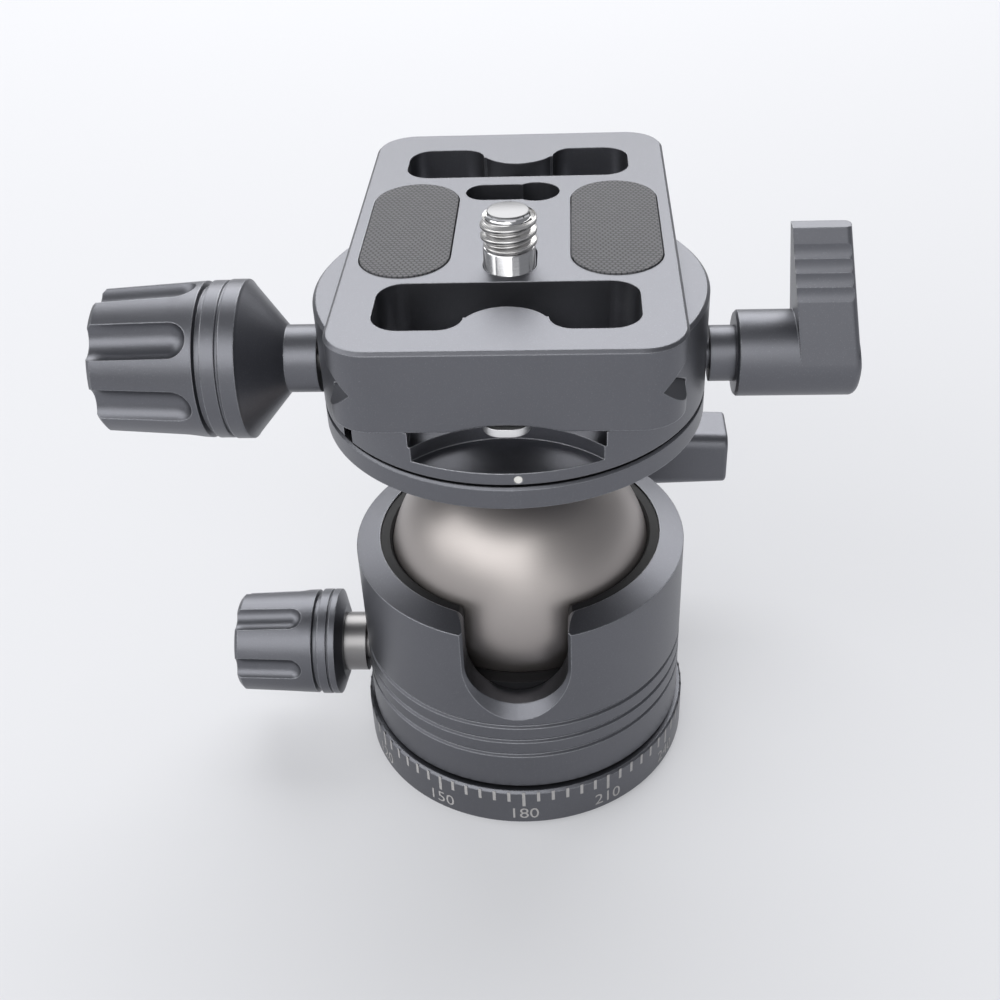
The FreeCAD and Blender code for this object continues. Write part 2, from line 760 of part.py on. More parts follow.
def finger_flutes(root):
    """Shallow grooves across the upper half of the arm's front face."""
    run = (clampArmFront - root[0], clampArmHeight - root[1])
    size = math.hypot(run[0], run[1])
    along = (run[0] / size, run[1] / size)
    out = clampFluteRadius - clampFluteDepth
    cuts = []
    for i in range(clampArmFlutes):
        back = clampFluteStart + i * clampFlutePitch
        y = clampArmFront - along[0] * back - along[1] * out
        z = clampAxis + clampArmHeight - along[1] * back + along[0] * out
        cuts.append(rod(clampFluteRadius, (0, y, z), clampBarrelEnd + 1, (1, 0, 0)))
    return cuts


def plate_outline():
    w = plateWidth / 2
    apex = plateTop - grooveTop - dovetailDepth
    d = dovetailDepth
    right = [(w, plateBottom), (w, apex - d), (w - d, apex), (w, apex + d), (w, plateTop)]
    left = [(-x, z) for x, z in reversed(right)]
    return right + left


def tongue(y, side):
    """Rounded tongue that leaves a slot's outer rail, with eased roots."""
    r, root, above = tongueRadius, tongueRoot, plateTop + 2
    disc = cyl(r, 0, above, 0, y)
    centre = math.sqrt((r + root) ** 2 - root ** 2)
    foot = box(-centre, centre, min(y, y + side * root), max(y, y + side * root), 0, above)
    foot = foot.cut([cyl(root, 0, above, sx * centre, y + side * root) for sx in (-1, 1)])
    return disc.fuse(foot)


def strap_slot(y0, y1, side):
    body = rounded_box(-slotHalf, slotHalf, y0, y1, plateBottom - 1, plateTop + 1, slotCorner)
    return body.cut(tongue(y0 if side > 0 else y1, side))


def plate():
    low, high = plateBottom, plateTop
    blank = rounded_box(-plateWidth / 2, plateWidth / 2, plateFront, plateFront + plateLength, low, high, plateCorner)
    rim = [e for e in blank.Edges if all(abs(v.Point.z - high) < 1e-6 for v in e.Vertexes)]
    blank = blank.makeChamfer(plateChamfer, rim)
    body = blank.common(across(plate_outline(), plateFront - 1, plateFront + plateLength + 1))
    body = body.cut(strap_slot(frontSlot[0], frontSlot[1], 1)).cut(strap_slot(rearSlot[0], rearSlot[1], -1))
    slot_front = cameraScrewY - screwSlotHalf
    slot_rear = cameraScrewY + screwSlotHalf + screwTravel
    body = body.cut(obround(-screwSlotHalf, screwSlotHalf, slot_front, slot_rear, low - 1, high + 1))
    pocket_front = plateFront + pocketWall
    body = body.cut(rounded_box(-pocketHalf, pocketHalf, pocket_front, pocketRear, low - 1, low + pocketDepth, 2.0))
    arch = (0, plateFront - 1, low + lipHeight - lipRadius)
    body = body.cut(rod(lipRadius, arch, pocketWall + 2, (0, 1, 0)))
    body = body.cut(obround(keySlotEnd - keySlotHalf, keyholeX, keyholeY - keySlotHalf, keyholeY + keySlotHalf,
                            low - 1, high + 1))
    body = body.cut(cyl(keyholeRadius, low - 1, high + 1, keyholeX, keyholeY))
    body = body.cut(obround(keySlotEnd - keySlotHalf, keyholeX, keyholeY - keyholeRadius, keyholeY + keyholeRadius,
                            low - 1, low + 3))
    for side in (-1, 1):
        body = body.cut(pad_shape(side, 0.0, high - padDepth, high + 1))
    body = body.cut(cyl(stopScrewRadius + pressGap, low - 1, low + 5, stopScrewX, stopScrewY))
    return body


def pad_shape(side, inset, low, high):
    x0, x1 = sorted((side * padInner, side * padOuter))
    return obround(x0 + inset, x1 - inset, padFront + inset, padRear - inset, low, high)


def pad(side):
    return pad_shape(side, padGap, plateTop - padDepth + 0.02, plateTop + padProud)


def stop_screw():
    low = plateBottom - stopScrewHead
    head = cyl(stopScrewRadius + 1.2, low, plateBottom - 0.02, stopScrewX, stopScrewY)
    shank = cyl(stopScrewRadius, plateBottom - 0.1, plateBottom + 4.6, stopScrewX, stopScrewY)
    return head.fuse(shank).cut(cyl(1.0, low - 1, low + 0.8, stopScrewX, stopScrewY))


def head_top():
    return plateBottom + pocketDepth - seatGap


def camera_screw():
    """Head, plain collar, thread (plain, at its major radius) and bevelled tip."""
    y = cameraScrewY
    low, collar_top, top = head_top() - screwHeadHeight, plateTop + cameraCollarStand, plateTop + cameraScrewStand
    head = cyl(screwHeadRadius, low, head_top(), 0, y)
    collar = cyl(cameraCollarRadius, low, collar_top, 0, y)
    thread = cyl(cameraThreadRadius, collar_top, top - cameraTipHeight, 0, y)
    tip = Part.makeCone(cameraThreadRadius, cameraTipRadius, cameraTipHeight, V(0, y, top - cameraTipHeight), UP)
    body = head.fuse([collar, thread, tip])
    for side in (-1, 1):
        body = body.cut(rod(ringWire * 0.6 + runGap, (side * ringPinEnd, y, ring_height()), 5, (side, 0, 0)))
    return body


def ring_height():
    return head_top() - screwHeadHeight + 0.85


def d_ring():
    """Bail of bent wire: two hinge pins, two legs, a rounded front and a small tab."""
    z, w, y = ring_height(), ringHalf, cameraScrewY
    z_front = plateBottom
    bend = ringFront + ringWire + w
    pieces = []
    for side in (-1, 1):
        a, b = V(side * w, y, z), V(side * w, bend, z_front)
        pieces.append(Part.makeCylinder(ringWire, (b - a).Length, a, b - a))
        pieces.append(Part.makeSphere(ringWire, a))
        pieces.append(Part.makeSphere(ringWire, b))
        pieces.append(rod(ringWire * 0.6, (side * (ringPinEnd + 0.1), y, z), w - ringPinEnd - 0.1, (side, 0, 0)))
    arc = Part.makeTorus(w, ringWire, V(0, bend, z_front), UP, -180, 180, 360)
    pieces.append(arc.common(box(-10, 10, ringFront - 3, bend, z_front - 3, z_front + 3)))
    low, high = z_front - tabThickness / 2, z_front + tabThickness / 2
    pieces.append(rounded_box(-tabHalf, tabHalf, tabTip, ringFront + 2 * ringWire + tabHalf, low, high, tabCorner))
    return pieces[0].fuse(pieces[1:])


def build():
    save("base_plate", base_plate())
    save("thread_insert", thread_insert())
    save("pan_washer", pan_washer())
    save("housing", housing())
    save("pan_set_screws", pan_set_screws())
    save("ball_collar", ball_collar())
    save("lower_cup", lower_cup())
    save("cup_spring", cup_spring())
    save("ball", ball())
    save("stem", stem())
    save("brake_shoe", brake_shoe())
    save("main_lock_screw", main_screw())
    save("main_lock_lever", main_lever())
    save("pan_lock_shoe", pan_shoe())
    save("pan_lock_screw", pan_screw())
    save("pan_lock_knob", pan_knob())
    save("clamp_disc", clamp_disc())
    save("retaining_cap", retaining_cap())
    save("cap_screws", cap_screws())
    save("stem_screw", stem_screw())
    save("clamp_body", clamp_body())
    save("index_dot", index_dot())
    save("guide_pins", guide_pins())
    save("jaw_springs", jaw_springs())
    save("clamp_jaw", jaw())
    save("clamp_draw_screw", draw_screw())
    save("clamp_knob", clamp_knob())
    save("clamp_lock_shoe", clamp_shoe())
    save("clamp_lock_screw", clamp_screw())
    save("clamp_lock_lever", clamp_lever())
    save("release_plate", plate())
    save("left_pad", pad(-1))
    save("right_pad", pad(1))
    save("stop_screw", stop_screw())
    save("camera_screw", camera_screw())
    save("d_ring", d_ring())


build()
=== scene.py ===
import bpy
import bmesh
import math
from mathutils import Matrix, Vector


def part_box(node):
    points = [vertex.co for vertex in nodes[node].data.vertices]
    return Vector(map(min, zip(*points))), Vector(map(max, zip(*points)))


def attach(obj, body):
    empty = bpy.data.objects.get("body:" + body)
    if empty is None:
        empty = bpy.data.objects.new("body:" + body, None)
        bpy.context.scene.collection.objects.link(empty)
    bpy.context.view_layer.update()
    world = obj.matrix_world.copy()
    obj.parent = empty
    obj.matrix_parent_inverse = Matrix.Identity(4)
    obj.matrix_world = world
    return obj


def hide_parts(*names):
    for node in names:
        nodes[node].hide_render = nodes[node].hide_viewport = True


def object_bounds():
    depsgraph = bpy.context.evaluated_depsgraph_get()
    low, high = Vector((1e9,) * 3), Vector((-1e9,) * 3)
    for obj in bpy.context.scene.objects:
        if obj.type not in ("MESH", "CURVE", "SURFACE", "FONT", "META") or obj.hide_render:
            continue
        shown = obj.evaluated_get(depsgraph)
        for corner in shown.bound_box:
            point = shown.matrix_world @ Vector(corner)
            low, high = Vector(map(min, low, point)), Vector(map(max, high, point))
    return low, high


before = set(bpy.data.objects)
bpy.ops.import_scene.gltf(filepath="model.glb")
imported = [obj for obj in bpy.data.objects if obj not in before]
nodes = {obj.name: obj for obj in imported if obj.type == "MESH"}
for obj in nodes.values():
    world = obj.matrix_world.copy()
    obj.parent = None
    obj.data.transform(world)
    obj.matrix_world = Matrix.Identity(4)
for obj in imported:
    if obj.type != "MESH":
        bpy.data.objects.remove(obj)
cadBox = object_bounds()
mm = 0.001
bevelSamples = 4
edgeGain = 3.0      # how fast a rounded edge's mask rises


# Shader maths is written as expressions on these wrapped sockets

class Value:
    def __init__(self, tree, socket):
        self.tree = tree
        self.socket = socket

    def maths(self, operation, first, second=None):
        made = self.tree.nodes.new("ShaderNodeMath")
        made.operation = operation
        for slot, item in zip(made.inputs, (first, second)):
            if item is not None:
                connect(self.tree, slot, item)
        return Value(self.tree, made.outputs[0])

    def __add__(self, other):
        return self.maths("ADD", self, other)

    def __radd__(self, other):
        return self.maths("ADD", other, self)

    def __sub__(self, other):
        return self.maths("SUBTRACT", self, other)

    def __rsub__(self, other):
        return self.maths("SUBTRACT", other, self)

    def __mul__(self, other):
        return self.maths("MULTIPLY", self, other)

    def __rmul__(self, other):
        return self.maths("MULTIPLY", other, self)

    def __abs__(self):
        return self.maths("ABSOLUTE", self)

    def larger(self, other):
        return self.maths("MAXIMUM", self, other)

    def smaller(self, other):
        return self.maths("MINIMUM", self, other)

    def fraction(self):
        return self.maths("FRACT", self)


def connect(tree, slot, item):
    if isinstance(item, Value):
        tree.links.new(item.socket, slot)
    else:
        slot.default_value = item


class Finish:
    def __init__(self, name):
        self.material = bpy.data.materials.new(name)
        self.material.use_nodes = True
        self.tree = self.material.node_tree
        self.shader = self.tree.nodes["Principled BSDF"]
        self.place = self.node("TexCoord", output="Object")

    def node(self, kind, settings=None, output=0):
        made = self.tree.nodes.new("ShaderNode" + kind)
        inputs = {}
        for key, value in (settings or {}).items():
            if key == "inputs":
                inputs = value
            else:
                setattr(made, key, value)
        for key, value in inputs.items():
            connect(self.tree, made.inputs[key], value)
        return Value(self.tree, made.outputs[output])

    def noise(self, scale, detail=2.0, rough=0.5, place=None):
        wanted = {"Vector": place or self.place, "Scale": scale, "Detail": detail, "Roughness": rough}
        return self.node("TexNoise", {"inputs": wanted})

    def parts(self, vector):
        made = self.tree.nodes.new("ShaderNodeSeparateXYZ")
        connect(self.tree, made.inputs[0], vector)
        return [Value(self.tree, made.outputs[i]) for i in range(3)]

    def mix(self, factor, first, second):
        made = self.tree.nodes.new("ShaderNodeMix")
        made.data_type = "RGBA"
        connect(self.tree, made.inputs[0], factor)
        connect(self.tree, made.inputs[6], shade4(first))
        connect(self.tree, made.inputs[7], shade4(second))
        return Value(self.tree, made.outputs[2])

    def bump(self, height, strength, distance, normal=None):
        inputs = {"Height": height, "Strength": strength, "Distance": distance}
        if normal is not None:
            inputs["Normal"] = normal
        return self.node("Bump", {"inputs": inputs})

    def edge(self, radius):
        return self.node("Bevel", {"samples": bevelSamples, "inputs": {"Radius": radius}})

    def edgeMask(self, rounded):
        plain = self.node("NewGeometry", output="Normal")
        made = self.tree.nodes.new("ShaderNodeVectorMath")
        made.operation = "DOT_PRODUCT"
        connect(self.tree, made.inputs[0], rounded)
        connect(self.tree, made.inputs[1], plain)
        along = Value(self.tree, made.outputs["Value"])
        return ((1 - along) * edgeGain).smaller(1.0)

    def set(self, **wanted):
        names = {"color": "Base Color", "rough": "Roughness", "metal": "Metallic", "normal": "Normal",
                 "specular": "Specular IOR Level"}
        for key, value in wanted.items():
            value = shade4(value) if key == "color" else value
            connect(self.tree, self.shader.inputs[names[key]], value)
        return self.material


def shade4(value):
    if isinstance(value, tuple) and len(value) == 3:
        return (*value, 1.0)
    return value


def scaled(colour, factor):
    return tuple(min(1.0, c * factor) for c in colour)


# Finishes

def blastedAluminium(name, look):
    f = Finish(name)
    clouds = f.noise(look["cloudScale"], 3.0)
    grain = f.noise(look["grainScale"], 1.0, 0.6)
    # painted glints: random specks of the blasted grain are painted brighter than the metal
    sparkle = (grain - look["sparkleFloor"]).larger(0.0) * look["sparkle"]
    rounded = f.edge(look["edgeRadius"])
    edgeHighlightMask = f.edgeMask(rounded)
    dark, light = look["cloudShades"]
    base = f.mix(clouds, scaled(look["colour"], dark), scaled(look["colour"], light))
    base = f.mix(sparkle, base, scaled(look["colour"], look["sparkleShade"]))
    glint = (grain * look["glintGain"] - 0.5).larger(0.0)
    # painted highlight: rounded edges, speckled by the grain, are painted in a pale colour as bright edges
    base = f.mix((edgeHighlightMask * glint).smaller(1.0), base, look["edgeHighlightColour"])
    rough = look["rough"] + (grain - 0.5) * look["grainRough"] + (clouds - 0.5) * look["cloudRough"]
    return f.set(color=base, rough=rough, metal=1.0,
                 normal=f.bump(grain, look["bump"], look["grainDepth"], rounded))


def turnedMetal(name, look):
    # fine lathe lines across the given axis
    f = Finish(name)
    x, y, z = f.parts(f.place)
    along = {"x": x, "y": y, "z": z}[look["axis"]]
    lines = f.noise(1.0, 2.0, 0.6, f.node("CombineXYZ", {"inputs": {"X": along * look["lineScale"]}}))
    t = turned
    clouds = f.noise(t["cloudScale"], 2.0)
    rounded = f.edge(t["edgeRadius"])
    dark, light = t["lineShades"]
    base = f.mix(lines, scaled(look["colour"], dark), scaled(look["colour"], light))
    # painted highlight: rounded edges are painted lighter than the metal
    base = f.mix(f.edgeMask(rounded) * t["edgeLight"], base, scaled(look["colour"], t["edgeHighlightTone"]))
    rough = look["rough"] + (lines - 0.5) * t["lineRough"] + (clouds - 0.5) * t["cloudRough"]
    return f.set(color=base, rough=rough, metal=1.0, normal=f.bump(lines, look["bump"], t["lineDepth"], rounded))


def hexRubber(name, look):
    # rows of small hexagons: distance to the nearest of two shifted lattices
    f = Finish(name)
    x, y, z = f.parts(f.place)
    pitch = look["pitch"]
    u, v = x * (1 / pitch), y * (1 / (pitch * math.sqrt(3)))
    near = None
    for shift in (0.0, 0.5):
        # cellsAway keeps the numbers above zero
        du = abs((u + shift + look["cellsAway"]).fraction() - 0.5)
        dv = abs((v + shift + look["cellsAway"]).fraction() - 0.5) * math.sqrt(3)
        reach = (du * 0.5 + dv * (math.sqrt(3) / 2)).larger(du)
        near = reach if near is None else near.smaller(reach)
    cell = ((0.5 - near) * (1 / look["groove"])).smaller(1.0).larger(0.0)
    dust = f.noise(look["dustScale"], 4.0, 0.7)
    # painted shade: the grooves between the hexagons are painted darker than the rubber
    base = f.mix(cell, look["grooveShadeColour"], look["colour"])
    base = f.mix((dust - 0.5).larger(0.0) * 0.5, base, look["dustColour"])
    grain = f.noise(look["grainScale"], 2.0, 0.6)
    return f.set(color=base, rough=look["rough"] + (dust - 0.5) * 0.3, specular=look["specular"],
                 normal=f.bump(cell * 0.8 + grain * 0.2, look["bump"], look["depth"], f.edge(look["edgeRadius"])))


def mouldedPolymer(name, look):
    f = Finish(name)
    grain = f.noise(look["grainScale"], 3.0, 0.6)
    clouds = f.noise(look["cloudScale"], 3.0)
    dark, light = look["cloudShades"]
    base = f.mix(clouds, scaled(look["colour"], dark), scaled(look["colour"], light))
    return f.set(color=base, rough=look["rough"] + (grain - 0.5) * 0.2, specular=look["specular"],
                 normal=f.bump(grain, look["bump"], look["depth"], f.edge(look["edgeRadius"])))


def fillPaint(name, look):
    f = Finish(name)
    wear = f.noise(paint["wearScale"], 4.0, 0.7)
    worn = (wear - paint["wearFloor"]).larger(0.0) * paint["wearGain"]
    base = f.mix(worn, look["colour"], look["wornColour"])
    return f.set(color=base, rough=paint["rough"] + (wear - 0.5) * 0.3,
                 normal=f.bump(wear, paint["bump"], paint["depth"]))


titanium = {"colour": (0.150, 0.153, 0.168), "cloudScale": 90.0, "cloudShades": (0.93, 1.07), "cloudRough": 0.08,
            "grainScale": 9500.0, "grainRough": 0.14, "grainDepth": 0.03 * mm, "bump": 0.35, "rough": 0.40,
            "sparkle": 2.6, "sparkleFloor": 0.62, "sparkleShade": 2.2, "edgeRadius": 0.20 * mm, "glintGain": 2.4,
            "edgeHighlightColour": (0.62, 0.63, 0.66)}
turned = {"cloudScale": 140.0, "edgeRadius": 0.12 * mm, "edgeLight": 0.5, "edgeHighlightTone": 1.25,
          "lineShades": (0.92, 1.06), "lineRough": 0.16, "lineDepth": 0.02 * mm, "cloudRough": 0.08}
ballLook = {"colour": (0.42, 0.39, 0.375), "axis": "z", "lineScale": 9000.0, "rough": 0.43, "bump": 0.10}
steelLook = {"colour": (0.66, 0.65, 0.64), "axis": "x", "lineScale": 12000.0, "rough": 0.28, "bump": 0.2}
shankLook = {"colour": (0.24, 0.235, 0.235), "axis": "x", "lineScale": 9000.0, "rough": 0.34, "bump": 0.2}
capLook = {"colour": (0.22, 0.22, 0.225), "axis": "z", "lineScale": 9000.0, "rough": 0.33, "bump": 0.05}
ringLook = {"colour": (0.86, 0.86, 0.86), "axis": "x", "lineScale": 9000.0, "rough": 0.42, "bump": 0.1}
chromeLook = {"colour": (0.60, 0.60, 0.61), "axis": "z", "lineScale": 5000.0, "rough": 0.14, "bump": 0.03}
brassLook = {"colour": (0.70, 0.52, 0.26), "axis": "z", "lineScale": 9000.0, "rough": 0.32, "bump": 0.2}
padLook = {"colour": (0.125, 0.125, 0.132), "grooveShadeColour": (0.022, 0.022, 0.024),
           "dustColour": (0.17, 0.17, 0.175), "dustScale": 900.0, "grainScale": 5200.0, "rough": 0.62,
           "specular": 0.35, "pitch": 0.62 * mm, "groove": 0.16, "cellsAway": 40, "bump": 0.7,
           "depth": 0.12 * mm, "edgeRadius": 0.15 * mm}
collarLook = {"colour": (0.008, 0.008, 0.009), "rough": 0.5, "grainScale": 3500.0, "cloudScale": 200.0,
              "cloudShades": (0.8, 1.25), "specular": 0.22, "bump": 0.25, "depth": 0.02 * mm,
              "edgeRadius": 0.1 * mm}
paint = {"wearScale": 1800.0, "wearFloor": 0.45, "wearGain": 1.2, "rough": 0.6, "bump": 0.2, "depth": 0.01 * mm}
markLook = {"colour": (0.74, 0.73, 0.69), "wornColour": (0.42, 0.42, 0.42)}
scaleLook = {"colour": (0.40, 0.39, 0.385), "wornColour": (0.22, 0.22, 0.22)}

finishes = {
    "titanium": blastedAluminium("titanium anodised", titanium),
    "ball": turnedMetal("satin ball", ballLook),
    "steel": turnedMetal("bright steel", steelLook),
    "steelUp": turnedMetal("bright steel upright", dict(steelLook, axis="z")),
    "shank": turnedMetal("grey shank", shankLook),
    "shankBack": turnedMetal("grey shank back", dict(shankLook, axis="y")),
    "screwCap": turnedMetal("screw top", capLook),
    "chrome": turnedMetal("polished collar", chromeLook),
    "ring": turnedMetal("satin ring", ringLook),
    "brass": turnedMetal("brass shoe", brassLook),
    "pad": hexRubber("hexagon rubber", padLook),
    "collar": mouldedPolymer("black seat polymer", collarLook),
    "mark": fillPaint("pale fill paint", markLook),
    "scale": fillPaint("scale fill paint", scaleLook),
}
nodeFinish = {
    "base_plate": "titanium", "thread_insert": "steelUp", "pan_washer": "collar", "housing": "titanium",
    "pan_set_screws": "steelUp", "ball_collar": "collar", "lower_cup": "collar", "cup_spring": "steelUp",
    "ball": "ball", "stem": "ball", "brake_shoe": "brass", "main_lock_screw": "shankBack",
    "main_lock_lever": "titanium", "pan_lock_shoe": "brass", "pan_lock_screw": "shank",
    "pan_lock_knob": "titanium",
    "clamp_disc": "titanium", "retaining_cap": "steelUp", "cap_screws": "steelUp", "stem_screw": "steelUp",
    "clamp_body": "titanium", "index_dot": "mark", "guide_pins": "steel", "jaw_springs": "steel",
    "clamp_jaw": "titanium", "clamp_draw_screw": "steel", "clamp_knob": "titanium", "clamp_lock_shoe": "brass",
    "clamp_lock_screw": "titanium", "clamp_lock_lever": "titanium", "release_plate": "titanium", "left_pad": "pad",
    "right_pad": "pad", "stop_screw": "steelUp", "camera_screw": "steelUp", "d_ring": "ring",
}
for name, finish in nodeFinish.items():
    slots = nodes[name].data.materials
    slots.clear()
    slots.append(finishes[finish])
print("finishes on", len(nodeFinish), "nodes")


# Mesh helpers

wireResolution = 3


def meshPiece(name, points, faces, finish, body, smooth=True):
    data = bpy.data.meshes.new(name)
    data.from_pydata([tuple(p) for p in points], [], faces)
    data.validate()
    piece = bpy.data.objects.new(name, data)
    bpy.context.scene.collection.objects.link(piece)
    data.materials.append(finishes[finish])
    for polygon in data.polygons:
        polygon.use_smooth = smooth
    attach(piece, body)
    return piece


def ringGrid(rings, closed=True):
    # joins rings of equal length into quads
    count = len(rings[0])
    points = [p for ring in rings for p in ring]
    faces = []
    for i in range(len(rings) - 1):
        for j in range(count if closed else count - 1):
            k = (j + 1) % count
            faces.append((i * count + j, i * count + k, (i + 1) * count + k, (i + 1) * count + j))
    return points, faces


def tube(name, path, radius, finish, body):
    curve = bpy.data.curves.new(name, "CURVE")
    curve.dimensions = "3D"
    line = curve.splines.new("POLY")
    line.points.add(len(path) - 1)
    for point, place in zip(line.points, path):
        point.co = (*place, 1)
    curve.bevel_depth = radius
    curve.bevel_resolution = wireResolution
    curve.use_fill_caps = True
    curve.materials.append(finishes[finish])
    piece = bpy.data.objects.new(name, curve)
    bpy.context.scene.collection.objects.link(piece)
    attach(piece, body)
    return piece


# Camera screw: head, polished collar, rolled thread and a bevelled top

cameraScrew = {"pitch": 1.27 * mm, "major": 3.17 * mm, "minor": 2.56 * mm, "collar": 2.94 * mm,
               "headRadius": 5.6 * mm, "headHeight": 2.0 * mm, "threadLength": 4.2 * mm, "tip": 0.75 * mm,
               "tipRadius": 2.36 * mm, "steps": 96, "levels": 22, "ridgeHalf": 0.42, "ridgeCurve": 0.85,
               "ridgeGain": 1.3, "runOut": 0.35, "hole": 0.02 * mm, "headEdge": 0.3 * mm, "edge": 0.2 * mm,
               "collarEdge": 0.16 * mm, "undercut": 0.1 * mm}


def cameraScrewRadius(height, angle, low):
    # radius of the thread at a height and an angle, with its run-out at the collar
    s = cameraScrew
    phase = ((height - low) / s["pitch"] - angle / (2 * math.pi)) % 1.0
    ridge = max(0.0, 1.0 - abs(phase - 0.5) / s["ridgeHalf"]) ** s["ridgeCurve"]
    radius = s["minor"] + (s["major"] - s["minor"]) * min(1.0, ridge * s["ridgeGain"])
    fade = min(1.0, (height - low) / (s["runOut"] * s["pitch"]))
    return s["minor"] + (radius - s["minor"]) * fade


def buildCameraScrew():
    low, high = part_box("camera_screw")
    s = cameraScrew
    cx, cy = (low[0] + high[0]) / 2, (low[1] + high[1]) / 2
    threadLow, top, headTop = high[2] - s["threadLength"], high[2], low[2] + s["headHeight"]
    threadTop = top - s["tip"]
    steps = s["steps"]

    def ring(height, radius):
        made = []
        for j in range(steps):
            a = 2 * math.pi * j / steps
            r = radius(a) if callable(radius) else radius
            made.append(Vector((cx + r * math.cos(a), cy + r * math.sin(a), height)))
        return made

    head, collar, edge, hole = s["headRadius"], s["collar"], s["edge"], s["hole"]
    lower = [ring(low[2], hole), ring(low[2], head - s["headEdge"]), ring(low[2] + s["headEdge"], head),
             ring(headTop - edge, head), ring(headTop, head - edge), ring(headTop, collar + edge),
             ring(headTop + edge, collar), ring(threadLow - s["collarEdge"], collar),
             ring(threadLow, collar - s["collarEdge"]), ring(threadLow + hole, s["minor"] - s["undercut"])]
    thread = []
    count = int((threadTop - threadLow) / (s["pitch"] / s["levels"]))
    for i in range(count + 1):
        h = threadLow + (threadTop - threadLow) * i / count
        thread.append(ring(h, lambda a, h=h: cameraScrewRadius(h, a, threadLow)))
    tip = s["tipRadius"]
    neck = [ring(threadTop, s["minor"] - 0.02 * mm), ring(threadTop + 0.1 * mm, tip), ring(top - 0.14 * mm, tip)]
    cap = [ring(top - 0.14 * mm, tip), ring(top - 0.03 * mm, tip - 0.08 * mm), ring(top, tip - 0.2 * mm),
           ring(top, 0.02 * mm)]
    for label, rings, finish in (("collar", lower, "chrome"), ("thread", thread, "steelUp"),
                                 ("neck", neck, "chrome"), ("cap", cap, "screwCap")):
        points, faces = ringGrid(rings)
        piece = meshPiece("camera_screw_" + label, points, faces, finish, "camera_screw")
        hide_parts("camera_screw")


buildCameraScrew()

# Springs: two coils beside the jaw's pins and a wave spring under the cup

jawSpring = {"radius": 1.05 * mm, "wire": 0.22 * mm, "turns": 6, "steps": 18, "inset": 1.02}


def buildJawSprings():
    low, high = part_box("jaw_springs")
    s = jawSpring
    centreZ = (low[2] + high[2]) / 2
    pieces = []
    for side, y in (("front", low[1]), ("rear", high[1])):
        centreY = y + (s["radius"] + s["wire"]) * (s["inset"] if side == "front" else -s["inset"])
        path = []
        count = s["turns"] * s["steps"]
        for i in range(count + 1):
            a = 2 * math.pi * i / s["steps"]
            share = i / count
            x = high[0] - s["wire"] - share * (high[0] - low[0] - 2 * s["wire"])
            path.append((x, centreY + s["radius"] * math.cos(a), centreZ + s["radius"] * math.sin(a)))
        pieces.append(tube("jaw_spring_coil_" + side, path, s["wire"], "steel", "clamp"))
    for piece in pieces:
        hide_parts("jaw_springs")


buildJawSprings()

waveSpring = {"waves": 6, "steps": 180, "thick": 0.3 * mm, "inner": 13.8 * mm, "outer": 16.7 * mm}


def buildWaveSpring():
    low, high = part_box("cup_spring")
    s = waveSpring
    middle, swing = (low[2] + high[2]) / 2, (high[2] - low[2] - s["thick"]) / 2
    rings = []
    corners = ((s["inner"], -0.5), (s["outer"], -0.5), (s["outer"], 0.5), (s["inner"], 0.5), (s["inner"], -0.5))
    for radius, lift in corners:
        ring = []
        for j in range(s["steps"]):
            a = 2 * math.pi * j / s["steps"]
            z = middle + swing * math.sin(s["waves"] * a) + lift * s["thick"]
            ring.append(Vector((radius * math.cos(a), radius * math.sin(a), z)))
        rings.append(ring)
    points, faces = ringGrid(rings)
    piece = meshPiece("cup_wave_spring", points, faces, "steelUp", "housing")
    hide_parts("cup_spring")


buildWaveSpring()
print("screw and springs done")

# Degree scale round the base

scale = {"step": 5, "longStep": 30, "width": 0.40 * mm, "short": 1.7 * mm, "long": 2.5 * mm, "start": -89.0,
         "drop": 0.32 * mm, "lift": 0.015 * mm, "digit": 1.95 * mm, "digitSize": 1.35,
         "digitDrop": 2.95 * mm, "front": 180}


def baseSide():
    # radius of the base, and height of the seam above its scale
    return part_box("base_plate")[1][0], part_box("housing")[0][2]


def onBase(angle, height, radius):
    return Vector((radius * math.cos(angle), radius * math.sin(angle), height))


def buildTicks():
    radius, seam = baseSide()
    radius += scale["lift"]
    top = seam - scale["drop"]
    points, faces = [], []
    for i in range(360 // scale["step"]):
        angle = math.radians(scale["start"] + i * scale["step"])
        length = scale["long"] if (i * scale["step"]) % scale["longStep"] == 0 else scale["short"]
        half = scale["width"] / 2 / radius
        first = len(points)
        for a, z in ((-half, top), (half, top), (half, top - length), (-half, top - length)):
            points.append(onBase(angle + a, z, radius))
        faces.append((first + 3, first + 2, first + 1, first))
    meshPiece("base_scale_ticks", points, faces, "scale", "base", smooth=False)


def buildDigits():
    radius, seam = baseSide()
    radius += scale["lift"]
    for i in range(360 // scale["longStep"]):
        degrees = (scale["front"] + i * scale["longStep"]) % 360
        words = bpy.data.curves.new("digits", "FONT")
        words.body = str(degrees)
        words.size = scale["digit"] * scale["digitSize"]
        words.align_x = "CENTER"
        words.align_y = "TOP"
        words.resolution_u = 3
        holder = bpy.data.objects.new("digits", words)
        bpy.context.scene.collection.objects.link(holder)
        bpy.context.view_layer.update()
        flat = bpy.data.meshes.new_from_object(holder)
        bpy.data.objects.remove(holder)
        made = bmesh.new()
        made.from_mesh(flat)
        bmesh.ops.triangulate(made, faces=made.faces)
        middle = math.radians(scale["start"] + i * scale["longStep"])
        for vertex in made.verts:
            angle = middle + vertex.co.x / radius
            vertex.co = onBase(angle, seam - scale["digitDrop"] + vertex.co.y, radius)
        points = [v.co.copy() for v in made.verts]
        faces = [[v.index for v in face.verts] for face in made.faces]
        made.free()
        meshPiece("base_scale_number_%03d" % degrees, points, faces, "scale", "base", smooth=False)


buildTicks()
buildDigits()
print("scale done")

# Floor, light and camera

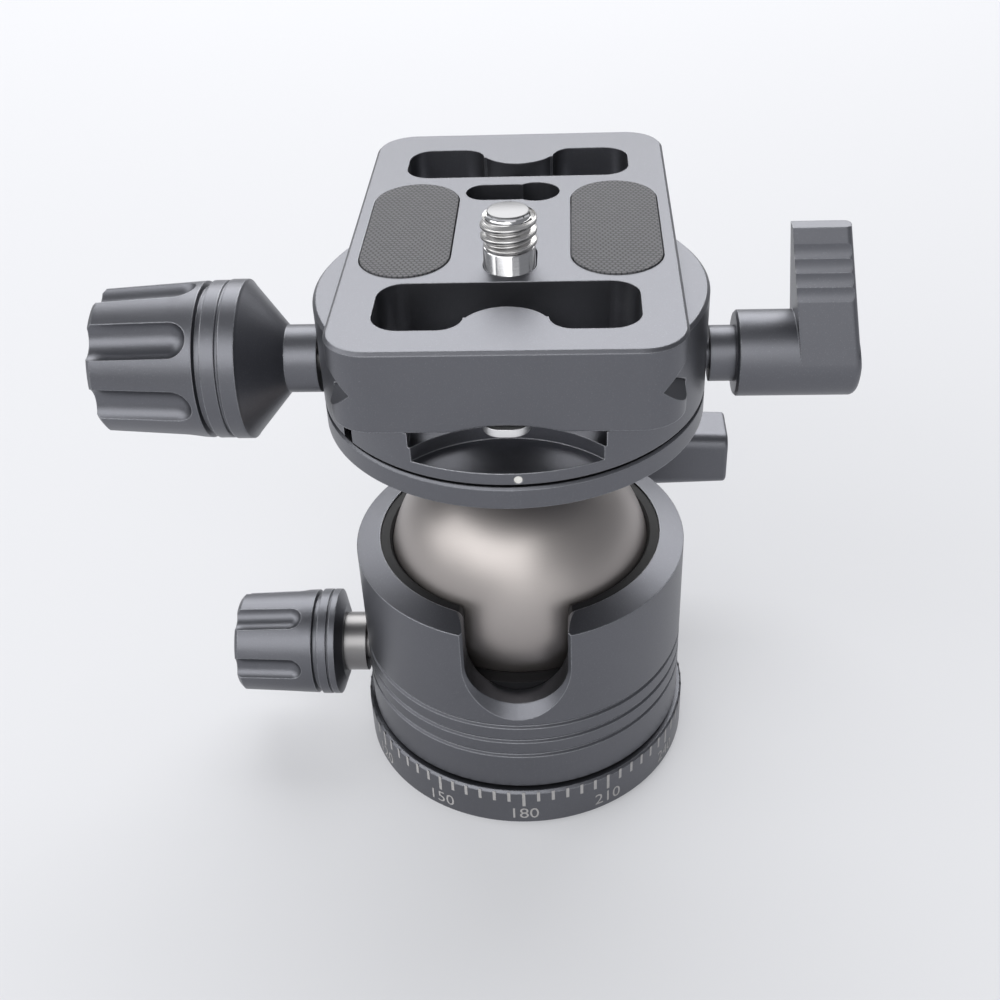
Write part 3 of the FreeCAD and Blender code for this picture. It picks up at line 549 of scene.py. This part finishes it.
studio = {"floorColour": (0.66, 0.665, 0.685), "backColour": (0.86, 0.865, 0.89), "glow": 0.35, "world": 0.30,
          "fadeStart": 0.50, "fadeLength": 0.50, "floorSize": 6.0, "worldColour": (0.93, 0.95, 1.0),
          "aim": (0, 0, 0.04)}


def buildFloor():
    data = bpy.data.meshes.new("floor")
    size, low = studio["floorSize"], cadBox[0][2]
    corners = [(-size, -size, low), (size, -size, low), (size, size, low), (-size, size, low)]
    data.from_pydata(corners, [], [(0, 1, 2, 3)])
    floor = bpy.data.objects.new("floor", data)
    bpy.context.scene.collection.objects.link(floor)
    material = bpy.data.materials.new("pale floor")
    material.use_nodes = True
    tree = material.node_tree
    tree.nodes.clear()
    out = tree.nodes.new("ShaderNodeOutputMaterial")
    lit = tree.nodes.new("ShaderNodeBsdfDiffuse")
    lit.inputs["Color"].default_value = (*studio["floorColour"], 1)
    glow = tree.nodes.new("ShaderNodeEmission")
    glow.inputs["Color"].default_value = (*studio["backColour"], 1)
    path = tree.nodes.new("ShaderNodeLightPath")
    camera = Value(tree, path.outputs["Is Camera Ray"])
    seen = (camera + Value(tree, path.outputs["Is Glossy Ray"])).smaller(1.0) * studio["glow"]
    spread = tree.nodes.new("ShaderNodeVectorMath")
    spread.operation = "LENGTH"
    tree.links.new(tree.nodes.new("ShaderNodeTexCoord").outputs["Object"], spread.inputs[0])
    far = ((Value(tree, spread.outputs["Value"]) - studio["fadeStart"]) * (1 / studio["fadeLength"])).larger(0.0)
    seen = seen.larger(camera * far.smaller(1.0))
    blend = tree.nodes.new("ShaderNodeMixShader")
    tree.links.new(seen.socket, blend.inputs[0])
    tree.links.new(lit.outputs[0], blend.inputs[1])
    tree.links.new(glow.outputs[0], blend.inputs[2])
    tree.links.new(blend.outputs[0], out.inputs[0])
    data.materials.append(material)


def buildWorld():
    world = bpy.data.worlds.new("studio")
    bpy.context.scene.world = world
    world.use_nodes = True
    tree = world.node_tree
    tree.nodes.clear()
    out = tree.nodes.new("ShaderNodeOutputWorld")
    dim = tree.nodes.new("ShaderNodeBackground")
    dim.inputs["Color"].default_value = (*studio["worldColour"], 1)
    dim.inputs["Strength"].default_value = studio["world"]
    pale = tree.nodes.new("ShaderNodeBackground")
    pale.inputs["Color"].default_value = (*studio["backColour"], 1)
    path = tree.nodes.new("ShaderNodeLightPath")
    blend = tree.nodes.new("ShaderNodeMixShader")
    tree.links.new(path.outputs["Is Camera Ray"], blend.inputs[0])
    tree.links.new(dim.outputs[0], blend.inputs[1])
    tree.links.new(pale.outputs[0], blend.inputs[2])
    tree.links.new(blend.outputs[0], out.inputs[0])


def areaLight(name, place, width, height, radiance):
    data = bpy.data.lights.new(name, "AREA")
    data.shape = "RECTANGLE"
    data.size, data.size_y = width, height
    data.energy = radiance * math.pi * width * height
    lamp = bpy.data.objects.new(name, data)
    bpy.context.scene.collection.objects.link(lamp)
    lamp.location = place
    lamp.rotation_euler = (Vector(studio["aim"]) - Vector(place)).to_track_quat("-Z", "Y").to_euler()


lamps = {
    "window behind": {"place": (0.02, 0.60, 0.58), "width": 1.05, "height": 0.65, "radiance": 3.5},
    "wall left": {"place": (-0.75, -0.10, 0.45), "width": 0.70, "height": 0.50, "radiance": 2.1},
    "soft box front": {"place": (-0.26, -0.68, 0.60), "width": 1.10, "height": 0.62, "radiance": 2.4},
    "low front": {"place": (0.25, -1.00, 0.16), "width": 1.10, "height": 0.45, "radiance": 0.9},
}
view = {"place": (6.937 * mm, -134.637 * mm, 134.816 * mm), "yaw": -3.946, "pitch": -36.069, "roll": -2.705,
        "lens": 47.376}


def buildCamera():
    yaw, pitch, roll = (math.radians(view[k]) for k in ("yaw", "pitch", "roll"))
    forward = Vector((math.sin(yaw) * math.cos(pitch), math.cos(yaw) * math.cos(pitch), math.sin(pitch)))
    right = Vector((math.cos(yaw), -math.sin(yaw), 0))
    up = right.cross(forward)
    rolledRight = right * math.cos(roll) + up * math.sin(roll)
    rolledUp = up * math.cos(roll) - right * math.sin(roll)
    data = bpy.data.cameras.new("camera")
    data.lens = view["lens"]
    data.sensor_width = 36.0
    data.clip_start = 0.005
    camera = bpy.data.objects.new("camera", data)
    bpy.context.scene.collection.objects.link(camera)
    turn = camera.matrix_world.copy()
    for i in range(3):
        turn[i][0], turn[i][1], turn[i][2], turn[i][3] = rolledRight[i], rolledUp[i], -forward[i], view["place"][i]
    camera.matrix_world = turn
    bpy.context.scene.camera = camera


buildFloor()
buildWorld()
for name, lamp in lamps.items():
    areaLight(name, **lamp)
buildCamera()
bpy.context.scene.view_settings.view_transform = "Standard"
print("studio done")
